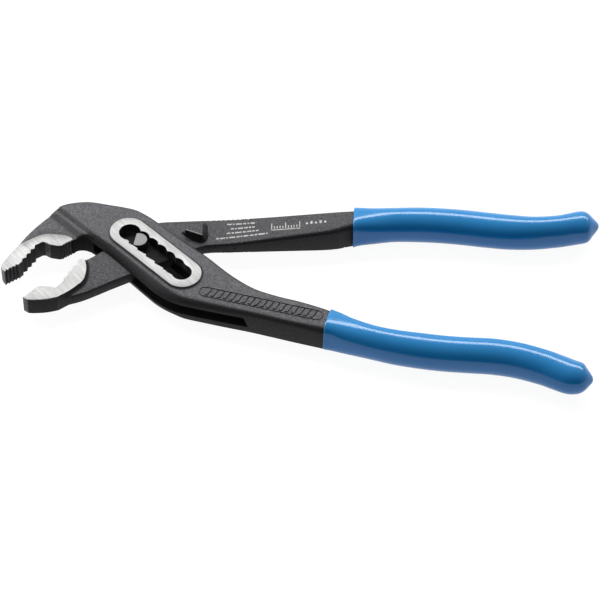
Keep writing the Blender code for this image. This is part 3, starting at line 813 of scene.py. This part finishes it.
def straight_below(xy):
    """The slot's scalloped side is straight on the lower side."""
    c, s = math.cos(SLOT_ANGLE), math.sin(SLOT_ANGLE)
    near, _ = nearest(SLOT, xy)
    u = (xy[:, 0] - PIN[0]) * c + (xy[:, 1] - PIN[1]) * s
    v = (xy[:, 1] - PIN[1]) * c - (xy[:, 0] - PIN[0]) * s
    over = np.where((near < 0.01) & (u > 1) & (u < 28) & (v > 0), np.maximum(v - CLEAR, 0), 0)
    return xy - over[:, None] * (-s, c)


def build_outer():
    lines = [JAW_LINE, shifted(JAW_LINE, GROUND_STEP)]
    lines += [[(total - y, y) for y in (34.0, 60.0)] for total, _ in SHOULDER]
    lines += [closed(stadium(d)) for d, _ in RING_WALL]
    lines += [closed(loop) for loop in RIM_LOOPS + RIB_TOPS + RIB_FEET]
    lines += crossing(OUTER_TANG, -26.0, 3.0)
    lever = forging(
        "outer_lever_body", outer_outline(1.0), outer_height, OUTER_MATS, pick_outer,
        [SLOT], lines, under=under_height, low_edge=UNDER_EDGE, low_move=straight_below,
    )
    low_left, low_right, high_right, high_left = (-92.8, 28.9), (-29.6, -24.3), (-8.3, 40.0), (-75.5, 59.0)
    opening = [low_left, low_right, high_right, high_left]
    lean = [low_left, (low_right[0] + 2.0, low_right[1]), (high_right[0] + 2.0, high_right[1]), high_left]
    # The opening's inner faces take painted shade
    dark = OUTER_MATS.index(SHADE_BLACK)
    cut(lever, prism("opening_cutter", opening, -OPENING, OPENING, lean, OUTER_MATS, dark))
    return lever


def bar(x0, x1, y0, y1, low, slope):
    """A small rectangle on a line of print that starts at low and rises by slope."""
    base = low[1] + (x0 - low[0]) * slope
    rise = (x1 - x0) * slope
    return [(x0, base + y0), (x1, base + y0 + rise), (x1, base + y1 + rise), (x0, base + y1)]


def print_marks():
    """Rows of plain bars, a ruler-like scale and a row of squares."""
    out = []
    rows = [((-31.2, 47.1), -19.3, 0.02), ((-29.6, 44.4), -19.3, 0.06), ((-31.3, 41.8), -17.6, 0.08)]
    rows += [((-35.7, 38.8), -13.8, 0.095)]
    widths = (1.9, 0.9, 2.6, 1.3, 0.7, 2.2, 1.6, 0.9, 2.9, 1.2)
    for r, (low, end, slope) in enumerate(rows):
        x = low[0]
        k = 3 * r
        while x < end - 0.3:
            wide = min(widths[k % len(widths)], end - x)
            out.append(bar(x, x + wide, 0.2, 0.95, low, slope))
            x += wide + 0.5
            k += 1
    low = (-12.3, 42.9)
    out.append(bar(-12.3, 0.2, 0.0, 0.42, low, 0.03))
    for k in range(11):
        x = -12.3 + 1.195 * k
        tall = 4.1 if k % 5 == 0 else 2.4
        out.append(bar(x, x + 0.42, 0.85, tall, low, 0.03))
    low = (2.5, 45.3)
    for k in range(5):
        x = 2.5 + 1.95 * k
        out.append(bar(x, x + 0.9, 0.2, 1.8 if k % 2 else 1.25, low, 0.06))
    return out


MARKS = print_marks()


def pick_inner(points, side, way):
    joint = inside(JOINT_ZONE, points)
    if side == 0:
        # Painted shade on the walls in the joint zone
        kind = np.where(joint, INNER_MATS.index(SHADE_BLACK), INNER_MATS.index(INNER_BLACK))
        # Painted light on the walls near the jaw's tip that face left
        return np.where(lit_left_walls(points, way, -113.9), INNER_MATS.index(PAINTED_LIGHT), kind)
    ground = inside(LOWER_GROUND, points) & (points[:, 0] < -90.1)
    kind = np.where(ground, INNER_MATS.index(PALE_STEEL), INNER_MATS.index(INNER_BLACK))
    # Painted shade on the faces where the inner lever shows through the slot
    kind[joint] = INNER_MATS.index(SHADE_BLACK)
    # Painted shade on the pinch stop's flank
    kind[inside(STOP_BASE, points) & ~inside(STOP_TOP, points)] = INNER_MATS.index(STOP_FLANK_SHADE)
    # A painted highlight along the stop's front edge
    kind[inside(STOP_EDGE, points)] = INNER_MATS.index(PAINTED_LIGHT)
    if side == 1:
        for mark in MARKS:
            kind[inside(mark, points)] = INNER_MATS.index(PRINT)
    return kind


def pin_outline(radius, flat, count):
    """Round with one flat, which faces the jaws."""
    half = math.degrees(math.acos(flat / radius))
    return arc(PIN, radius, PIN_TURN + half, PIN_TURN + 360 - half, count)


def build_inner():
    lines = [shifted(LOWER_LINE, -LOWER_STEP * k / 5) for k in range(6)]
    lines += crossing((*range(-40, -20, 2), *range(15, 26, 2), *INNER_TANG), 30.0, 60.0)
    base = dense(STOP_BASE, 0.8)
    lines += [closed(between(base, STOP_TOP, k / 10)) for k in range(10)]
    lines.append(closed(dense(STOP_TOP, 0.8)))
    lines.append(STOP_EDGE[2:])
    lines += [closed(mark) for mark in MARKS]
    lines.append(closed(JOINT_ZONE))
    bore = pin_outline(PIN_R + PIN_GAP, PIN_FLAT + PIN_GAP, 60)
    return forging(
        "inner_lever_body", inner_outline(1.0), inner_height, INNER_MATS, pick_inner, [bore], lines,
        low_edge=UNDER_EDGE,
    )


def build_pin():
    """Bright ends, and walls in painted shade."""
    mats = [PIN_STEEL, SHADE_BLACK]
    return forging(
        "joint_pin_body", edge(pin_outline(PIN_R, PIN_FLAT, 70), PIN_EDGE), lambda x, y: PIN_TOP + 0 * x,
        mats, lambda points, side, way: np.full(len(points), mats.index(SHADE_BLACK if side == 0 else PIN_STEEL)),
    )


# --- grips -----------------------------------------------------------------------------

# Along each grip: x, y, half width, half thickness, and the exponent that squares its section
OUTER_GRIP = [(11.2, -10.0, 7.6, 7.3, 3.4), (14.5, -11.3, 7.2, 7.3, 3.1), (20.0, -13.8, 6.9, 7.4, 2.5)]
OUTER_GRIP += [(30.0, -17.4, 6.7, 7.5, 2.1), (40.0, -20.2, 6.9, 7.6, 2.1), (50.0, -22.1, 7.2, 7.6, 2.1)]
OUTER_GRIP += [(60.0, -23.6, 7.2, 7.6, 2.1), (70.0, -24.5, 7.2, 7.6, 2.1), (80.0, -25.3, 7.3, 7.6, 2.1)]
OUTER_GRIP += [(90.0, -27.4, 7.2, 7.6, 2.1), (100.0, -31.0, 7.2, 7.4, 2.1), (106.0, -33.9, 7.3, 7.2, 2.1)]
OUTER_GRIP += [(110.5, -36.1, 7.28, 7.0, 2.1), (113.5, -36.8, 6.87, 6.7, 2.1)]
OUTER_GRIP += [(115.5, -37.3, 6.2, 6.1, 2.1), (117.0, -37.6, 5.0, 4.9, 2.0), (118.5, -37.8, 3.2, 3.2, 2.0)]
OUTER_GRIP += [(119.6, -38.0, 1.7, 1.7, 2.0), (120.1, -38.1, 0.7, 0.7, 2.0)]
INNER_GRIP = [(22.9, 48.3, 7.6, 7.3, 3.4), (25.5, 48.7, 7.2, 7.3, 3.1), (31.0, 49.1, 7.1, 7.4, 2.5)]
INNER_GRIP += [(40.0, 49.8, 7.1, 7.5, 2.1), (50.0, 49.9, 7.2, 7.6, 2.1), (60.0, 49.4, 7.3, 7.6, 2.1)]
INNER_GRIP += [(70.0, 48.3, 7.4, 7.6, 2.1), (80.0, 46.8, 7.4, 7.6, 2.1), (90.0, 45.5, 7.2, 7.6, 2.1)]
INNER_GRIP += [(100.0, 45.0, 6.6, 7.5, 2.1), (110.0, 45.9, 6.4, 7.3, 2.1), (116.0, 47.2, 6.6, 7.2, 2.1)]
INNER_GRIP += [(120.0, 48.2, 6.9, 7.0, 2.1), (122.4, 48.6, 6.7, 6.7, 2.1), (124.1, 48.8, 5.6, 5.7, 2.1)]
INNER_GRIP += [(125.4, 48.9, 4.2, 4.3, 2.0), (126.7, 49.0, 2.8, 2.8, 2.0), (127.8, 49.1, 1.5, 1.5, 2.0)]
INNER_GRIP += [(128.2, 49.1, 0.6, 0.6, 2.0)]
SIDES = 72
LIP = 0.5


def grip_body(name, stations, lean, roll):
    """A dipped sleeve: lean slants its mouth and roll turns its section there, in degrees."""
    rows = np.array(curve(stations, 0.9))
    lip = [rows[0] + (rows[1] - rows[0]) * t for t in (0.0, 0.06, 0.17, 0.32, 0.5)]
    rows = np.vstack([lip, rows[1:]])
    way = np.gradient(rows[:, :2], axis=0)
    way /= np.linalg.norm(way, axis=1)[:, None]
    gone = np.concatenate([[0], np.cumsum(np.linalg.norm(np.diff(rows[:, :2], axis=0), axis=1))])
    verts = []
    for (x, y, half, thick, square), (tx, ty), s in zip(rows, way, gone):
        inset = LIP - math.sqrt(LIP**2 - max(LIP - s, 0) ** 2)
        turn = math.radians(roll) * (1 - smooth(s, 0.0, 17.0))
        slant = lean * (1 - smooth(s, 0.0, 12.0))
        for k in range(SIDES):
            a = 2 * math.pi * (k + 0.5) / SIDES
            c, d = math.cos(a), math.sin(a)
            across = (half - inset) * math.copysign(abs(c) ** (2 / square), c)
            up = (thick - inset) * math.copysign(abs(d) ** (2 / square), d)
            across, up = (
                across * math.cos(turn) + up * math.sin(turn),
                up * math.cos(turn) - across * math.sin(turn),
            )
            along = slant * across / half
            verts.append((x - ty * across + tx * along, y + tx * across + ty * along, up))
    n, m = len(rows), SIDES
    faces = [tuple(range(m))]
    for i in range(n - 1):
        for k in range(m):
            a, b = i * m + k, i * m + (k + 1) % m
            faces.append((b, a, a + m, b + m))
    faces.append(tuple((n - 1) * m + k for k in range(m - 1, -1, -1)))
    return mesh_object(name, verts, faces, [BLUE], angle=50)


def socket(outline, height, mouth, lines):
    """The hollow of a grip: the lever's own tang, grown by the socket gap."""
    loop = np.array(outline, float)
    wide = loop[:, :2] - normals(loop) * SOCKET_GAP
    keep = loop[:, 0] > mouth
    first = int(np.argmax(keep & ~np.roll(keep, 1)))
    order = [(first + i) % len(loop) for i in range(int(keep.sum()))]
    part = np.c_[wide[order], loop[order, 2] + 0.2]
    return forging("socket", part, lambda x, y: height(x, y) + SOCKET_GAP, [BLUE], lines=lines)


outer = build_outer()
inner = build_inner()
pin = build_pin()
outer_grip = grip_body("outer_grip_body", OUTER_GRIP, -1.0, 8.0)
cut(outer_grip, socket(outer_outline(3.0), under_height, 3.0, crossing(OUTER_TANG, -26.0, 3.0)))
inner_grip = grip_body("inner_grip_body", INNER_GRIP, 1.7, 8.0)
inner_lines = crossing((15.0, 20.0, 25.0, *INNER_TANG), 34.0, 60.0)
cut(inner_grip, socket(inner_outline(3.0), inner_height, 13.0, inner_lines))

for piece, body, node, slot in (
    (outer, "outer", "outer_lever", "forged_steel"),
    (outer_grip, "outer", "outer_grip", "dipped_vinyl"),
    (inner, "inner", "inner_lever", "forged_steel"),
    (inner_grip, "inner", "inner_grip", "dipped_vinyl"),
    (pin, "inner", "joint_pin", "bright_steel"),
):
    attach(piece, body)
    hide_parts(node)

rivet = frame["nodes"]["pin_rivet"]
rivet.data.materials.clear()
rivet.data.materials.append(PIN_STEEL)

# --- floor, light and camera -------------------------------------------------------------


FLOOR_HALF = 6.0


def floor_white():
    mat = bpy.data.materials.new("floor_white")
    mat.use_nodes = True
    inputs = mat.node_tree.nodes["Principled BSDF"].inputs
    inputs["Base Color"].default_value = (0.06, 0.06, 0.06, 1)
    inputs["Roughness"].default_value = 0.9
    inputs["Emission Color"].default_value = (1, 1, 1, 1)
    inputs["Emission Strength"].default_value = 0.94
    return mat


floor_mesh = bpy.data.meshes.new("floor")
h = FLOOR_HALF
floor_mesh.from_pydata([(-h, -h, 0), (h, -h, 0), (h, h, 0), (-h, h, 0)], [], [(0, 1, 2, 3)])
floor_mesh.materials.append(floor_white())
floor = bpy.data.objects.new("floor", floor_mesh)
bpy.context.scene.collection.objects.link(floor)


def area(name, place, target, size, power, glossy=True):
    light = bpy.data.lights.new(name, "AREA")
    light.shape = "RECTANGLE"
    light.size, light.size_y = size
    light.energy = power
    obj = bpy.data.objects.new(name, light)
    obj.location = place
    obj.rotation_euler = (Vector(target) - Vector(place)).to_track_quat("-Z", "Y").to_euler()
    obj.visible_glossy = glossy
    bpy.context.scene.collection.objects.link(obj)


area("key", (-0.35, 0.9, 1.45), (0, 0, 0), (0.9, 0.3), 27, glossy=False)
area("back_strip", (0.0, 1.0, 1.103), (0, 0, 0), (3.2, 0.34), 38)
area("left_fill", (-1.2, 0.85, 0.3), (-0.1, 0, 0), (0.8, 0.4), 14)

# Brighter behind the tool than in front of it
world = bpy.data.worlds.new("studio")
bpy.context.scene.world = world
world.use_nodes = True
tree = world.node_tree
coord = tree.nodes.new("ShaderNodeTexCoord")
parts = tree.nodes.new("ShaderNodeSeparateXYZ")
tree.links.new(coord.outputs["Generated"], parts.inputs[0])
back = tree.nodes.new("ShaderNodeMapRange")
back.inputs["From Min"].default_value = -0.95
back.inputs["From Max"].default_value = 0.95
back.inputs["To Min"].default_value = 0.05
back.inputs["To Max"].default_value = 1.15
tree.links.new(parts.outputs["Y"], back.inputs["Value"])
tree.links.new(back.outputs[0], tree.nodes["Background"].inputs["Strength"])
tree.nodes["Background"].inputs["Color"].default_value = (1, 1, 1, 1)
bpy.context.scene.view_settings.view_transform = "Standard"

# About 48 degrees above the tool, in millimetres from its middle plane
EYE = (0.0, -839.6, 932.8)
LOOK = (0, 0.672, -0.741)

camera_data = bpy.data.cameras.new("camera")
camera_data.lens = 180
camera_data.sensor_width = 36
camera_data.clip_end = 50
camera = bpy.data.objects.new("camera", camera_data)
bpy.context.scene.collection.objects.link(camera)
camera.location = [(at - shift) * MM for at, shift in zip(EYE, SHIFT)]
camera.rotation_euler = Vector(LOOK).to_track_quat("-Z", "Y").to_euler()
bpy.context.scene.camera = camera
